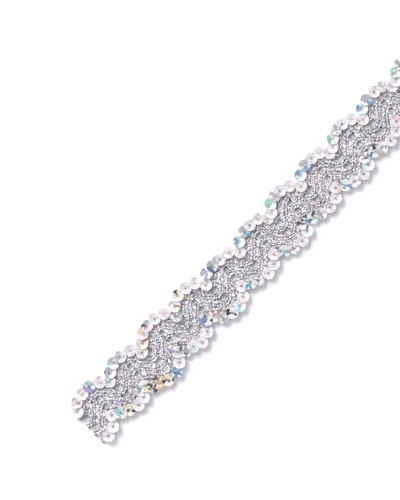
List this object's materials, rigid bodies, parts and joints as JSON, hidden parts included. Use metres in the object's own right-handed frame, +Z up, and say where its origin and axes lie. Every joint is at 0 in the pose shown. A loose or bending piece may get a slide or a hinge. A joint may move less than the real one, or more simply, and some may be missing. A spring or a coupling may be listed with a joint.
{
  "type": "sequin trim",
  "caption": "Cut length of flat trim in parallel zigzag metallic cords, edged on both sides with an overlapping string of dished pearl sequins.",
  "frame": {"origin": "bottom centre of the trim's box, on the surface that it lies on", "axes": "+X along the trim's length, +Y across its width, +Z up out of its face, the side that carries the sequins"},
  "size_m": [0.198, 0.0292, 0.0034],
  "materials": {
    "silver_lurex": "soft cord of crinkled silver metallic yarn, sparkling",
    "pearl_sequin": "pearl white film with an iridescent, mirror-like gloss"
  },
  "bodies": {
    "root": {"edge_cord_upper": "silver_lurex", "inner_cord_upper": "silver_lurex", "inner_cord_lower": "silver_lurex", "edge_cord_lower": "silver_lurex", "sequin_string_upper": "pearl_sequin", "sequin_string_lower": "pearl_sequin"}
  },
  "joints": []
}
